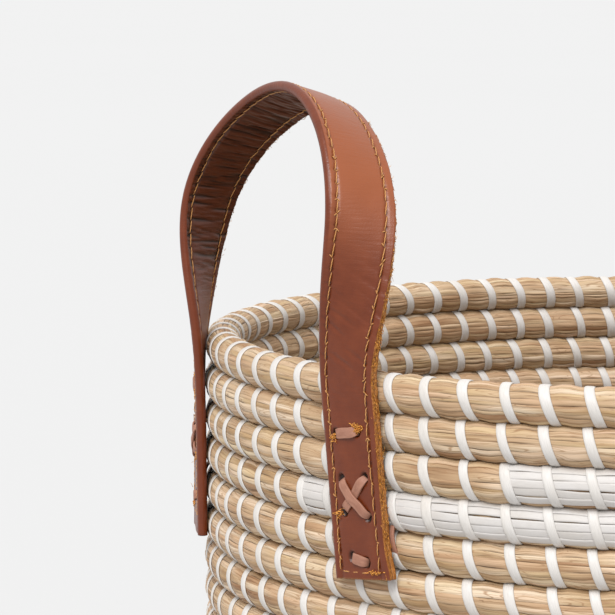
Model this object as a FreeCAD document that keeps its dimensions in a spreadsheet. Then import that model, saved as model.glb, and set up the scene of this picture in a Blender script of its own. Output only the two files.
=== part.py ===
import FreeCAD, Part
import math
import os

# A round, straight-walled storage basket. A bundle of seagrass is coiled into a flat base and a
# stack of wall turns, and sewn with narrow white strip. Two flat leather straps are laced to the
# outside of the wall and stand above the rim as carrying handles.
#
# Frame: +Z up, origin at the centre of the underside, handles on the X axis, front towards -Y.

Vector = FreeCAD.Vector
Rotation = FreeCAD.Rotation
Placement = FreeCAD.Placement

UP = Vector(0, 0, 1)
WALL_TURNS = 22
BASE_TURNS = 12
RIM_STITCHES = 76
STRIPS_PER_ROW = 5
LENGTHS_PER_TURN = 12
# handle side: the angle about Z that turns the left handle into its place
SIDES = {"left": 0, "right": 180}
# leg of a handle: which way round from the handle's middle, seen on the left handle
LEGS = {"front": 1, "back": -1}

doc = FreeCAD.newDocument("coiled_basket")

# ---------------------------------------------------------------- driving dimensions

DIMENSIONS = [
    # coil
    ("coil_pitch", 16.0),
    ("core_radius", 7.4),
    ("ring_radius", 205.5),
    ("first_turn_rise", 7.2),
    ("knot_radius", 5.6),
    ("knot_edge", 1.5),
    # white strip
    ("stitch_gap", 0.05),
    ("stitch_thickness", 0.5),
    ("stitch_width", 4.3),
    ("stitch_phase", 1.2),
    ("strip_span", 16.0),
    ("strip_width_angle", 15.4),
    ("strip_first_angle", -44.0),
    ("front_lower_band_half", 77.8),
    ("back_lower_band_half", 60.5),
    ("upper_band_half", 51.3),
    # strap
    ("strap_width", 28.4),
    ("strap_thickness", 4.6),
    ("strap_gap", 0.15),
    ("leg_half_angle", 21.4),
    ("leg_tilt", 6.5),
    ("leg_mid_drop", 44.0),
    ("front_leg_drop", 84.0),
    ("back_leg_drop", 92.0),
    # arch, measured from the rim top and from the basket's axis
    ("side_half", 74.85),
    ("side_out", 197.3),
    ("side_rise", 60.6),
    ("side_turn", 72.5),
    ("shoulder_half", 35.0),
    ("shoulder_out", 187.5),
    ("shoulder_rise", 99.5),
    ("shoulder_turn", 105.0),
    ("crown_out", 185.1),
    ("crown_rise", 108.2),
    ("crown_turn", 108.4),
    # fold line of the handles
    ("fold_out", 211.6),
    ("fold_rise", 1.2),
    ("fold_gap", 0.3),
    ("fold_inward", 30.0),
    # leather thong
    ("thong_width", 4.8),
    ("thong_thickness", 1.3),
    ("thong_clearance", 0.15),
    ("top_lace_drop", 24.8),
    ("top_lace_length", 13.0),
    ("cross_lace_drop", 50.8),
    ("cross_lace_length", 19.0),
    ("cross_lace_angle", 50.0),
    ("bottom_lace_drop", 76.0),
    ("bottom_lace_length", 10.0),
]

sheet = doc.addObject("Spreadsheet::Sheet", "dims")
for row, (alias, value) in enumerate(DIMENSIONS, start=1):
    sheet.set(f"A{row}", alias)
    sheet.set(f"B{row}", str(value))
    sheet.setAlias(f"B{row}", alias)
doc.recompute()


def dim(alias):
    """The number that a sheet cell holds."""
    return float(getattr(sheet, alias))


nodes = []


def make(kind, name, **sizes):
    """A document object whose properties are bound to expressions over the sheet."""
    made = doc.addObject(kind, name)
    for size, expression in sizes.items():
        made.setExpression(size, expression)
    return made


def node(made, label):
    """Mark a document object as a piece of the basket, under its own name."""
    made.Label = label
    nodes.append(made)


def cut(name, base, tool):
    made = doc.addObject("Part::Cut", name)
    made.Base = base
    made.Tool = tool
    return made


def fuse(name, parts):
    made = doc.addObject("Part::MultiFuse", name)
    made.Shapes = parts
    return made


# ---------------------------------------------------------------- coiled seagrass

# a block wider than the basket, for cutting level with the floor and with the rim
FLOOR_SIZE = 480.0
FLOOR_DEPTH = 20.0


def pressed_flat(name, solid):
    """A bottom turn with its underside pressed flat where the basket stands."""
    below = make("Part::Box", f"{name}_below")
    below.Length = FLOOR_SIZE
    below.Width = FLOOR_SIZE
    below.Height = FLOOR_DEPTH
    below.Placement = Placement(Vector(-FLOOR_SIZE / 2, -FLOOR_SIZE / 2, -FLOOR_DEPTH), Rotation())
    return cut(f"{name}_flat", solid, below)


def turn(name, radius, rise):
    """One turn of the seagrass bundle, as a ring with its axis on the basket's."""
    ring = make("Part::Torus", name, Radius1=radius, Radius2="dims.core_radius")
    ring.setExpression("Placement.Base.z", rise)
    return ring


def base_centre():
    """The knot where the coil starts."""
    knot = make("Part::Cylinder", "knot", Radius="dims.knot_radius", Height="2 * dims.first_turn_rise")
    doc.recompute()
    rounded = doc.addObject("Part::Fillet", "knot_rounded")
    rounded.Base = knot
    rims = [number for number, edge in enumerate(knot.Shape.Edges, start=1)
            if isinstance(edge.Curve, Part.Circle)]
    rounded.Edges = [(number, dim("knot_edge"), dim("knot_edge")) for number in rims]
    node(rounded, "base_centre_knot")


def base_turns():
    for number in range(1, BASE_TURNS + 1):
        inward = BASE_TURNS + 1 - number
        radius = f"dims.ring_radius - {inward} * dims.coil_pitch"
        ring = turn(f"base_ring_{number}", radius, "dims.first_turn_rise")
        node(pressed_flat(f"base_{number}", ring), f"base_turn_{number:02d}")


def wall_turns():
    """The wall's turns, each as lengths of bundle laid end to end round the basket."""
    for number in range(1, WALL_TURNS + 1):
        rise = f"dims.first_turn_rise + {number - 1} * dims.coil_pitch"
        lengths = []
        for place in range(LENGTHS_PER_TURN):
            name = f"wall_{number}_{place}"
            length = turn(name, "dims.ring_radius", rise)
            length.Angle3 = 360 / LENGTHS_PER_TURN
            length.Placement.Rotation = Rotation(UP, (place + 0.5) * 360 / LENGTHS_PER_TURN)
            lengths.append(pressed_flat(name, length) if number == 1 else length)
        ring = doc.addObject("Part::Compound", f"wall_ring_{number}")
        ring.Links = lengths
        node(ring, "rim_turn" if number == WALL_TURNS else f"wall_turn_{number:02d}")


def turn_rise(rows_below_rim):
    """Expression for the centre height of a wall turn counted down from the rim."""
    return f"dims.first_turn_rise + {WALL_TURNS - 1 - rows_below_rim} * dims.coil_pitch"


# ---------------------------------------------------------------- white strip

def rim_stitches():
    """The narrow strip wound round the rim turn, as closed bands evenly spaced along it."""
    inner = "dims.core_radius + dims.stitch_gap"
    span = "dims.stitch_width / dims.ring_radius * 180 / pi"
    outside = make("Part::Torus", "stitch_outside", Radius1="dims.ring_radius",
                   Radius2=f"{inner} + dims.stitch_thickness", Angle3=span)
    inside = make("Part::Torus", "stitch_inside", Radius1="dims.ring_radius", Radius2=inner)
    band = cut("stitch_band", outside, inside)
    doc.recompute()
    rise = dim("first_turn_rise") + (WALL_TURNS - 1) * dim("coil_pitch")
    bands = []
    for number in range(RIM_STITCHES):
        angle = dim("stitch_phase") + number * 360 / RIM_STITCHES
        copy = band.Shape.copy()
        copy.Placement = Placement(Vector(0, 0, rise), Rotation(UP, angle))
        bands.append(copy)
    stitches = doc.addObject("Part::Feature", "rim_stitches")
    stitches.Shape = Part.makeCompound(bands)
    node(stitches, "rim_stitches")


def strip_section(name, low):
    """The curved section of one flat strip on a turn's outside, from an angle above level upwards."""
    inner = dim("core_radius") + dim("stitch_gap")
    outer = inner + dim("stitch_thickness")
    high = low + dim("strip_width_angle")

    def point(radius, angle):
        turned = math.radians(angle)
        return Vector(dim("ring_radius") + radius * math.cos(turned), 0, radius * math.sin(turned))

    middle = (low + high) / 2
    edges = [Part.Arc(point(outer, low), point(outer, middle), point(outer, high)).toShape(),
             Part.LineSegment(point(outer, high), point(inner, high)).toShape(),
             Part.Arc(point(inner, high), point(inner, middle), point(inner, low)).toShape(),
             Part.LineSegment(point(inner, low), point(outer, low)).toShape()]
    section = doc.addObject("Part::Feature", name)
    section.Shape = Part.Face(Part.Wire(edges))
    return section


def accent_row(name, rows_below_rim, half_span, facing):
    """Flat white strips laid side by side along the outside of one wall turn."""
    strips = []
    for number in range(STRIPS_PER_ROW):
        strip = doc.addObject("Part::Revolution", f"{name}_{number}")
        strip.Source = strip_section(f"{name}_{number}_section",
                                     dim("strip_first_angle") + number * dim("strip_span"))
        strip.Axis = UP
        strip.Solid = True
        strip.setExpression("Angle", f"2 * dims.{half_span}")
        strip.Placement = Placement(Vector(), Rotation(UP, facing - dim(half_span)))
        strip.setExpression("Placement.Base.z", turn_rise(rows_below_rim))
        strips.append(strip)
    return strips


def accent_bands():
    """A two-row white band on the front and on the back, each upper row shorter than its lower row."""
    for side, facing in (("front", 270), ("back", 90)):
        upper = accent_row(f"{side}_upper", 2, "upper_band_half", facing)
        lower = accent_row(f"{side}_lower", 3, f"{side}_lower_band_half", facing)
        for label, strips in ((f"{side}_upper_white_band", upper), (f"{side}_lower_white_band", lower)):
            band = doc.addObject("Part::Compound", label)
            band.Links = strips
            node(band, label)


# ---------------------------------------------------------------- leather straps

# how far a cutting shape runs past the leather it cuts
CUT_ALLOWANCE = 10.0
WALL_REACH = dim("ring_radius") + dim("core_radius") + dim("stitch_gap") + dim("stitch_thickness")
RIM_TOP = (dim("first_turn_rise") + (WALL_TURNS - 1) * dim("coil_pitch")
           + dim("core_radius") + dim("stitch_gap") + dim("stitch_thickness"))


def leg_frame(side_turn, leg):
    """Where a leg lies: X across the strap, Y out of the wall, Z up the strap, origin at mid-leg."""
    sign = LEGS[leg] * math.cos(math.radians(side_turn))
    azimuth = 180 + side_turn + sign * dim("leg_half_angle")
    reach = WALL_REACH + dim("strap_gap")
    middle = Vector(reach * math.cos(math.radians(azimuth)), reach * math.sin(math.radians(azimuth)),
                    RIM_TOP - dim("leg_mid_drop"))
    spin = Rotation(UP, azimuth - 90).multiply(Rotation(Vector(0, 1, 0), sign * dim("leg_tilt")))
    return Placement(middle, spin)


def block(name, frame, corner, **sizes):
    """A box whose low corner sits at a point of a leg's frame."""
    box = make("Part::Box", name, **sizes)
    box.Placement = frame.multiply(Placement(corner, Rotation()))
    return box


def lace(name, frame, drop, length_cell, angle, lift):
    """One visible stitch of thong: a flat bar over the leather and a tail through it at each end.

    Returns the bar with its tails, and the two punched slots that the tails pass through."""
    length = dim(length_cell)
    width = dim("thong_width")
    thick = dim("thong_thickness")
    clear = dim("thong_clearance")
    leather = dim("strap_thickness")
    turned = frame.multiply(Placement(Vector(0, 0, dim("leg_mid_drop") - drop), Rotation(Vector(0, 1, 0), angle)))
    bar = block(f"{name}_bar", turned, Vector(-length / 2, leather + clear + lift, -width / 2),
                Length=f"dims.{length_cell}", Width="dims.thong_thickness", Height="dims.thong_width")
    tails = []
    slots = []
    for end, start in (("a", -length / 2), ("b", length / 2 - thick)):
        tail = block(f"{name}_tail_{end}", turned, Vector(start, 0, -width / 2),
                     Length="dims.thong_thickness",
                     Width=f"dims.strap_thickness + dims.thong_clearance + {lift + thick / 2}",
                     Height="dims.thong_width")
        slot = block(f"{name}_slot_{end}", turned, Vector(start - clear, -CUT_ALLOWANCE, -width / 2 - clear),
                     Length="dims.thong_thickness + 2 * dims.thong_clearance",
                     Width=f"dims.strap_thickness + {2 * CUT_ALLOWANCE}",
                     Height="dims.thong_width + 2 * dims.thong_clearance")
        tails.append(tail)
        slots.append(slot)
    return fuse(name, [bar] + tails), slots


def lacing(prefix, frame):
    """The three lacings that hold a leg to the wall. Returns every slot they need."""
    thick = dim("thong_thickness")
    top, top_slots = lace(f"{prefix}_top_lace", frame, dim("top_lace_drop"), "top_lace_length", 0, 0)
    under, under_slots = lace(f"{prefix}_under", frame, dim("cross_lace_drop"), "cross_lace_length",
                              -dim("cross_lace_angle"), 0)
    over, over_slots = lace(f"{prefix}_over", frame, dim("cross_lace_drop"), "cross_lace_length",
                            dim("cross_lace_angle"), thick + dim("thong_clearance"))
    bottom, bottom_slots = lace(f"{prefix}_bottom_lace", frame, dim("bottom_lace_drop"),
                                "bottom_lace_length", 0, 0)
    node(top, f"{prefix}_top_lace")
    cross = doc.addObject("Part::Compound", f"{prefix}_cross")
    cross.Links = [under, over]
    node(cross, f"{prefix}_cross_lace")
    node(bottom, f"{prefix}_bottom_lace")
    return top_slots + under_slots + over_slots + bottom_slots


def strap_leg(side, side_turn, leg):
    """The flat end of a strap, laced to the outside of the wall and cut off level at the fold line."""
    prefix = f"{side}_{leg}"
    frame = leg_frame(side_turn, leg)
    drop = dim(f"{leg}_leg_drop") - dim("leg_mid_drop")
    over_length = dim("leg_mid_drop") + CUT_ALLOWANCE
    plank = block(f"{prefix}_plank", frame, Vector(-dim("strap_width") / 2, 0, -drop),
                  Length="dims.strap_width", Width="dims.strap_thickness",
                  Height=f"dims.{leg}_leg_drop - dims.leg_mid_drop + {over_length}")
    slots = lacing(prefix, frame)
    above = make("Part::Box", f"{prefix}_above")
    above.Length = FLOOR_SIZE
    above.Width = FLOOR_SIZE
    above.Height = FLOOR_DEPTH
    top = RIM_TOP + dim("fold_rise") - dim("fold_gap")
    above.Placement = Placement(Vector(-FLOOR_SIZE / 2, -FLOOR_SIZE / 2, top), Rotation())
    tools = fuse(f"{prefix}_tools", slots + [above])
    node(cut(f"{prefix}_leg", plank, tools), f"{side}_handle_{leg}_leg")


# below the rim top: where the arch's line starts, and where its face begins to turn up
ARCH_ROOT = 16.0
FACE_TURN_START = 6.0


def arch_knots():
    """Points of the strap's middle line over one handle, leg to leg, and the turn of its faces.

    Each entry is (along the rim, outwards from the basket's axis, above the rim top, turn)."""
    reach = WALL_REACH + dim("strap_gap") + dim("strap_thickness") / 2
    lean = math.radians(dim("leg_half_angle"))
    climb = math.tan(math.radians(dim("leg_tilt")))

    def on_leg(rise):
        along = (rise + dim("leg_mid_drop")) * climb
        return (reach * math.sin(lean) - along * math.cos(lean),
                reach * math.cos(lean) + along * math.sin(lean), rise, dim("leg_half_angle"))

    half = [
        on_leg(-ARCH_ROOT),
        on_leg(-FACE_TURN_START),
        (dim("side_half"), dim("side_out"), dim("side_rise"), dim("side_turn")),
        (dim("shoulder_half"), dim("shoulder_out"), dim("shoulder_rise"), dim("shoulder_turn")),
    ]
    crown = (0.0, dim("crown_out"), dim("crown_rise"), dim("crown_turn"))
    return half + [crown] + [(-along, out, rise, spin) for along, out, rise, spin in reversed(half)]


def arch_section(point, along, spin):
    """A rectangle of strap across its middle line, in (along, out, up) coordinates."""
    outward = Vector(0, 1, 0) - along * along.y
    outward.normalize()
    away = Vector(along.z, 0, -along.x)
    away = away - outward * away.dot(outward)
    away = away - along * away.dot(along)
    away.normalize()
    face = outward * math.cos(spin) + away * math.sin(spin)
    across = along.cross(face)
    half_width = across * (dim("strap_width") / 2)
    half_thick = face * (dim("strap_thickness") / 2)
    corners = [point + half_width + half_thick, point - half_width + half_thick,
               point - half_width - half_thick, point + half_width - half_thick]
    return Part.makePolygon(corners + corners[:1])


# the block that trims the arch's feet: how deep it is, and how far it stands outside the hinge line
WEDGE_DEPTH = 40.0
WEDGE_OVERHANG = 60.0
ARCH_SECTIONS = 33


def strap_arch(side, side_turn):
    """The free part of a strap, which folds about the line where both of its legs pass the rim."""
    knots = arch_knots()
    points = [Vector(*knot[:3]) for knot in knots]
    steps = [0.0]
    for before, after in zip(points, points[1:]):
        steps.append(steps[-1] + before.distanceToPoint(after))
    middle = Part.BSplineCurve()
    middle.interpolate(Points=points, Parameters=steps)
    turning = Part.BSplineCurve()
    turning.interpolate(Points=[Vector(step, knot[3], 0) for step, knot in zip(steps, knots)],
                        Parameters=steps)
    sections = []
    for number in range(ARCH_SECTIONS):
        step = steps[-1] * number / (ARCH_SECTIONS - 1)
        along = middle.tangent(step)[0]
        spin = math.radians(turning.value(step).y)
        sections.append(arch_section(middle.value(step), along, spin))
    loft = doc.addObject("Part::Feature", f"{side}_strap")
    loft.Shape = Part.makeLoft(sections, True, False)
    # (along, out, up) to the row frame, where the left handle stands on -X
    loft.Placement = Placement(Vector(0, 0, RIM_TOP), Rotation(UP, 90 + side_turn))

    below = make("Part::Box", f"{side}_wedge")
    below.Length = FLOOR_SIZE / 2
    below.Width = FLOOR_SIZE / 2
    below.Height = WEDGE_DEPTH
    hinge = Vector(-dim("fold_out"), 0, RIM_TOP + dim("fold_rise"))
    tip = Placement(hinge, Rotation(Vector(0, 1, 0), -dim("fold_inward")))
    corner = Placement(Vector(-WEDGE_OVERHANG, -FLOOR_SIZE / 4, -WEDGE_DEPTH), Rotation())
    below.Placement = Placement(Vector(), Rotation(UP, side_turn)).multiply(tip).multiply(corner)
    node(cut(f"{side}_arch", loft, below), f"{side}_handle_arch")


# ---------------------------------------------------------------- build, check and write

base_centre()
base_turns()
wall_turns()
rim_stitches()
accent_bands()
for side_name, angle_about_z in SIDES.items():
    for leg_name in LEGS:
        strap_leg(side_name, angle_about_z, leg_name)
    strap_arch(side_name, angle_about_z)
doc.recompute()

for item in doc.Objects:
    if "Invalid" in item.State or "Error" in item.State:
        raise RuntimeError(f"{item.Label}: {item.State}")

os.makedirs("parts", exist_ok=True)
for piece in nodes:
    if piece.Shape.isNull() or not piece.Shape.isValid():
        raise RuntimeError(f"{piece.Label} has no valid shape")
    piece.Shape.exportStep(f"parts/{piece.Label}.step")
print(len(nodes), "pieces")
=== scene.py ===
import math

import bpy
import numpy as np
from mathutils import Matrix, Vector


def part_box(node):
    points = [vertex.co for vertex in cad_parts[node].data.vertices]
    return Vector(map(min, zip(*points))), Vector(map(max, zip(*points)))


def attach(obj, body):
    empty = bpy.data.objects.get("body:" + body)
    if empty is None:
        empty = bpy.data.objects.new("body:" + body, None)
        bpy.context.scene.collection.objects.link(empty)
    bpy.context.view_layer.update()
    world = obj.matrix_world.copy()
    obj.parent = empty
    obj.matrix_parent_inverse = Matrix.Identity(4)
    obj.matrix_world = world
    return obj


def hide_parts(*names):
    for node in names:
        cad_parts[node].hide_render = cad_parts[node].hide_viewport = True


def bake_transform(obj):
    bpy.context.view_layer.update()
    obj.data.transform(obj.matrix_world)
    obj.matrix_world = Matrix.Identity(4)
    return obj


# A coiled seagrass basket with leather strap handles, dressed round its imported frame.
# Lengths are in millimetres until a mesh is made. Every size that the frame knows is read from it.

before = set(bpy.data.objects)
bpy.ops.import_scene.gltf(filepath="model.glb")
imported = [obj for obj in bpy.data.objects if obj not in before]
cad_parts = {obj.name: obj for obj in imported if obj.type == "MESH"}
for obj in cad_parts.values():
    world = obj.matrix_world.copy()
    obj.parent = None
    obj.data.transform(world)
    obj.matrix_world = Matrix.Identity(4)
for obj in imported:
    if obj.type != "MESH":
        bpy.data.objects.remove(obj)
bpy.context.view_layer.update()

MM = 0.001
TAU = 2 * math.pi


def node_box(name):
    """A CAD node's lowest and highest corners, in millimetres."""
    low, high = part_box(name)
    return np.array(low) / MM, np.array(high) / MM


# ---- sizes taken from the frame

WALL_TURNS = 22
BASE_TURNS = 12
LOW, HIGH = node_box("wall_turn_10")
CORE_RADIUS = (HIGH[2] - LOW[2]) / 2
RING_RADIUS = HIGH[0] - CORE_RADIUS
RIM_TOP = node_box("rim_stitches")[1][2]
COIL_PITCH = node_box("wall_turn_11")[1][2] - HIGH[2]

# ---- meshes


def smooth(x):
    """A soft step from 0 to 1."""
    x = np.clip(x, 0, 1)
    return x * x * (3 - 2 * x)


def bell(x, width):
    """1 at 0, falling away evenly to both sides."""
    return np.exp(-(x / width) ** 2)


def unit(vectors):
    return vectors / np.linalg.norm(vectors, axis=-1, keepdims=True)


def distance_along(points):
    """How far each point of a line is from its first."""
    return np.concatenate([[0], np.cumsum(np.linalg.norm(np.diff(points, axis=0), axis=1))])


def build_mesh(name, points, quads, caps=(), uv=None, marks=None):
    """A mesh from points in millimetres, quads as rows of four numbers, and caps as point loops."""
    mesh = bpy.data.meshes.new(name)
    faces = [quads.ravel()] + [np.asarray(cap) for cap in caps]
    corners = np.concatenate(faces).astype(np.int32)
    totals = np.concatenate([np.full(len(quads), 4), [len(cap) for cap in caps]]).astype(np.int32)
    starts = np.concatenate([[0], np.cumsum(totals)[:-1]]).astype(np.int32)
    mesh.vertices.add(len(points))
    mesh.vertices.foreach_set("co", (np.asarray(points) * MM).astype(np.float32).ravel())
    mesh.loops.add(len(corners))
    mesh.loops.foreach_set("vertex_index", corners)
    mesh.polygons.add(len(totals))
    mesh.polygons.foreach_set("loop_start", starts)
    mesh.polygons.foreach_set("use_smooth", np.ones(len(totals), bool))
    if uv is not None:
        layer = mesh.uv_layers.new(name="grain")
        spare = np.zeros((len(corners) - quads.size, 2))
        layer.data.foreach_set("uv", np.concatenate([uv, spare]).astype(np.float32).ravel())
    for key, values in (marks or {}).items():
        mark = mesh.attributes.new(key, "FLOAT", "POINT")
        mark.data.foreach_set("value", np.asarray(values, np.float32).ravel())
    mesh.update(calc_edges=True)
    return mesh


def grid_quads(rows, columns, closed=False):
    """Quads over rings of points, a row for each ring, with the last row joined to the first or not."""
    i = np.arange(rows if closed else rows - 1)
    i, j = (x.ravel() for x in np.meshgrid(i, np.arange(columns), indexing="ij"))
    here = i * columns
    ahead = (i + 1) % rows * columns
    beside = (j + 1) % columns
    return np.stack([here + j, ahead + j, ahead + beside, here + beside], 1), i, j


def grid_uv(i, j, along, across):
    """Face-corner coordinates for grid_quads, in metres along and across, with no jump at a seam."""
    corner_i = np.stack([i, i + 1, i + 1, i], 1).ravel()
    corner_j = np.stack([j, j, j + 1, j + 1], 1).ravel()
    return np.stack([corner_i * along * MM, corner_j * across * MM], 1)


def end_caps(rows, columns):
    """The point loops that close the first and last row of a tube."""
    return [np.arange(columns), (rows - 1) * columns + np.arange(columns)[::-1]]


def tube(rings, along, across, shift=0):
    """A closed tube through rings of points, as points, quads, caps and face-corner coordinates."""
    rows, columns = rings.shape[:2]
    quads, i, j = grid_quads(rows, columns)
    return rings.reshape(-1, 3), quads, end_caps(rows, columns), grid_uv(i, j, along, across) + shift


def joined(name, tubes):
    """One mesh of several tubes."""
    firsts = np.cumsum([0] + [len(points) for points, _, _, _ in tubes])
    return build_mesh(name, np.concatenate([points for points, _, _, _ in tubes]),
                      np.concatenate([quads + first for (_, quads, _, _), first in zip(tubes, firsts)]),
                      [cap + first for (_, _, caps, _), first in zip(tubes, firsts) for cap in caps],
                      uv=np.concatenate([uv for _, _, _, uv in tubes]))


def new_object(name, data):
    """A mesh, a camera or a light, put in the scene."""
    made = bpy.data.objects.new(name, data)
    bpy.context.scene.collection.objects.link(made)
    return made


def piece(name, mesh, material, body):
    made = new_object(name, mesh)
    mesh.materials.append(material)
    if body:
        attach(made, body)
    return made


def wander(rng, lines, samples, lowest, highest, fade=0.5):
    """Smooth closed random curves, one a row, of unit spread, from harmonics lowest to highest."""
    angle = np.arange(samples) * TAU / samples
    total = np.zeros((lines, samples))
    for harmonic in range(lowest, highest + 1):
        size = rng.normal(size=(lines, 1)) / harmonic ** fade
        total += size * np.sin(harmonic * angle + rng.uniform(0, TAU, (lines, 1)))
    return total / total.std()


# ---- materials


class Surface:
    """A material, and the few kinds of node that the surfaces here are made of."""

    def __init__(self, name):
        self.material = bpy.data.materials.new(name)
        self.material.use_nodes = True
        self.nodes = self.material.node_tree.nodes
        self.links = self.material.node_tree.links
        self.shader = self.nodes["Principled BSDF"]

    def add(self, kind, place=None, **settings):
        made = self.nodes.new(kind)
        for key, value in settings.items():
            if key in made.inputs:
                made.inputs[key].default_value = value
            else:
                setattr(made, key, value)
        if place:
            self.feed(made.inputs["Vector"], place)
        return made

    def mark(self, name):
        """A number that the mesh carries at each of its points."""
        return self.add("ShaderNodeAttribute", attribute_name=name).outputs["Fac"]

    def grain(self, along, across):
        """The mesh's own coordinates, in metres, stretched to features of these sizes in millimetres."""
        uv = self.add("ShaderNodeUVMap", uv_map="grain")
        mapping = self.add("ShaderNodeMapping", uv.outputs[0])
        mapping.inputs["Scale"].default_value = (1 / (along * MM), 1 / (across * MM), 1)
        return mapping.outputs[0]

    def noise(self, along, across, detail, roughness=0.5, scale=1.0):
        place = self.grain(along, across)
        made = self.add("ShaderNodeTexNoise", place, Scale=scale, Detail=detail, Roughness=roughness)
        return made.outputs["Fac"]

    def feed(self, socket, value):
        """Links a socket to another one, or sets its number or its colour."""
        if isinstance(value, bpy.types.NodeSocket):
            self.links.new(value, socket)
        elif isinstance(value, float):
            socket.default_value = value
        else:
            socket.default_value = (*value, 1.0)

    def ramp(self, factor, *stops):
        made = self.nodes.new("ShaderNodeValToRGB")
        elements = made.color_ramp.elements
        while len(elements) < len(stops):
            elements.new(0.5)
        for element, (position, colour) in zip(elements, stops):
            element.position = position
            element.color = (*colour, 1.0)
        self.links.new(factor, made.inputs[0])
        return made.outputs[0]

    def mix(self, factor, a, b, blend="MIX"):
        """A colour mix of a and b, each a socket or a colour, by a socket or a number."""
        made = self.nodes.new("ShaderNodeMix")
        made.data_type = "RGBA"
        made.blend_type = blend
        for number, value in ((0, factor), (6, a), (7, b)):
            self.feed(made.inputs[number], value)
        return made.outputs[2]

    def bump(self, height, strength, distance):
        """Raises the surface by a height, over any bump added before."""
        made = self.add("ShaderNodeBump", Strength=strength, Distance=distance)
        self.links.new(height, made.inputs["Height"])
        normal = self.shader.inputs["Normal"]
        for link in list(normal.links):
            self.links.new(link.from_socket, made.inputs["Normal"])
        self.links.new(made.outputs[0], normal)

    def finish(self, colour, roughness, specular=0.5):
        self.feed(self.shader.inputs["Base Color"], colour)
        self.feed(self.shader.inputs["Roughness"], roughness)
        self.feed(self.shader.inputs["Specular IOR Level"], specular)
        return self.material


def grey(shade):
    return (shade, shade, shade)


def straw_material():
    """Dry seagrass: long fibres of mixed cream, tan and rose, thin dark lines, painted shade in the gaps
    between strands, and odd knots.
    """
    look = Surface("seagrass")
    fibres = look.noise(30.0, 0.30, 4.0, 0.6)
    tone = look.ramp(look.mark("tone"), (0.0, (0.29, 0.17, 0.088)), (0.3, (0.43, 0.29, 0.17)),
                     (0.65, (0.525, 0.385, 0.25)), (1.0, (0.645, 0.52, 0.39)))
    hue = look.ramp(look.mark("hue"), (0.15, (1.0, 0.92, 0.88)), (0.5, grey(1.0)),
                    (0.9, (0.99, 0.985, 0.88)))
    colour = look.mix(1.0, tone, hue, "MULTIPLY")
    shade = look.ramp(fibres, (0.35, (0.58, 0.48, 0.38)), (0.43, (0.94, 0.92, 0.89)),
                      (0.70, (1.06, 1.07, 1.08)))
    colour = look.mix(1.0, colour, shade, "MULTIPLY")
    shade = look.ramp(look.noise(60.0, 0.8, 2.0), (0.32, (0.80, 0.74, 0.68)), (0.50, grey(1.0)),
                      (0.70, (1.08, 1.09, 1.10)))
    colour = look.mix(1.0, colour, shade, "MULTIPLY")
    streak = [(level + step, grey(dark)) for level in (0.42, 0.49, 0.56)
              for step, dark in ((-0.010, 0.0), (-0.003, 0.75), (0.003, 0.75), (0.010, 0.0))]
    streaks = look.ramp(look.noise(45.0, 1.7, 1.0), *streak)
    colour = look.mix(streaks, colour, (0.30, 0.17, 0.085))
    knots = look.ramp(look.noise(5.0, 1.3, 2.0), (0.74, grey(0.0)), (0.80, grey(1.0)))
    colour = look.mix(knots, colour, (0.20, 0.10, 0.045))
    # painted shade in the gaps between strands, deeper where a gap opens wide
    colour = look.mix(look.mark("gap"), colour, (0.085, 0.045, 0.02))
    look.bump(fibres, 0.5, 0.00025)
    return look.finish(colour, 0.55, 0.3)


def strip_material(name, colour, shade, relief):
    """Matt white plastic strip with a fine lengthwise grain and a little grime."""
    look = Surface(name)
    grain = look.noise(2.4, 0.35, 4.0, 0.65)
    grime = look.ramp(look.noise(14.0, 9.0, 2.0), (0.3, (0.93, 0.91, 0.88)), (0.65, grey(1.0)))
    tint = look.mix(1.0, look.ramp(grain, (0.3, shade), (0.62, colour)), grime, "MULTIPLY")
    look.bump(grain, relief, 0.00012)
    return look.finish(tint, 0.5, 0.4)


def leather_material():
    """Tan leather with a pebble grain and raw orange fibre at its edge, a painted highlight on the upper
    arch face, and painted shade on the under face and in holes, grooves and creases.
    """
    look = Surface("leather")
    pebbles = look.add("ShaderNodeTexVoronoi", look.grain(1.0, 1.0), Scale=1.45,
                       feature="DISTANCE_TO_EDGE")
    pores = look.noise(1.0, 1.0, 3.0, 0.6, scale=3.2)
    clouds = look.noise(1.0, 1.0, 5.0, 0.55, scale=0.11)
    base = look.ramp(clouds, (0.3, (0.124, 0.021, 0.0035)), (0.7, (0.165, 0.032, 0.0065)))
    # painted highlight: the upper arch face, which faces the light, is mixed towards a lighter tan
    colour = look.mix(look.mark("painted_arch_highlight"), base, (0.32, 0.090, 0.030))
    # painted shade: the strap's under face, most of all under the arch, is mixed towards a darker brown
    colour = look.mix(look.mark("inside"), colour, (0.092, 0.0205, 0.0055))
    pore_shade = look.ramp(pores, (0.35, (0.82, 0.80, 0.78)), (0.6, grey(1.0)))
    colour = look.mix(0.6, colour, pore_shade, "MULTIPLY")
    # painted shade: near-black in the lace holes, darker in the stitch pricks, seam grooves and underside
    # creases
    colour = look.mix(look.mark("painted_recess_shade"), colour, (0.018, 0.006, 0.003))
    raw = look.ramp(look.noise(1.1, 0.4, 4.0, 0.7), (0.32, (0.12, 0.033, 0.008)),
                    (0.5, (0.33, 0.12, 0.022)), (0.7, (0.60, 0.27, 0.065)))
    colour = look.mix(look.mark("raw"), colour, raw)
    look.bump(pebbles.outputs["Distance"], 0.22, 0.00025)
    look.bump(look.noise(1.3, 11.0, 4.0, 0.55), 0.35, 0.0005)
    sheen = look.add("ShaderNodeMapRange")
    sheen.inputs["To Min"].default_value = 0.30
    sheen.inputs["To Max"].default_value = 0.42
    look.feed(sheen.inputs["Value"], clouds)
    return look.finish(colour, sheen.outputs[0], 0.40)


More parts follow.
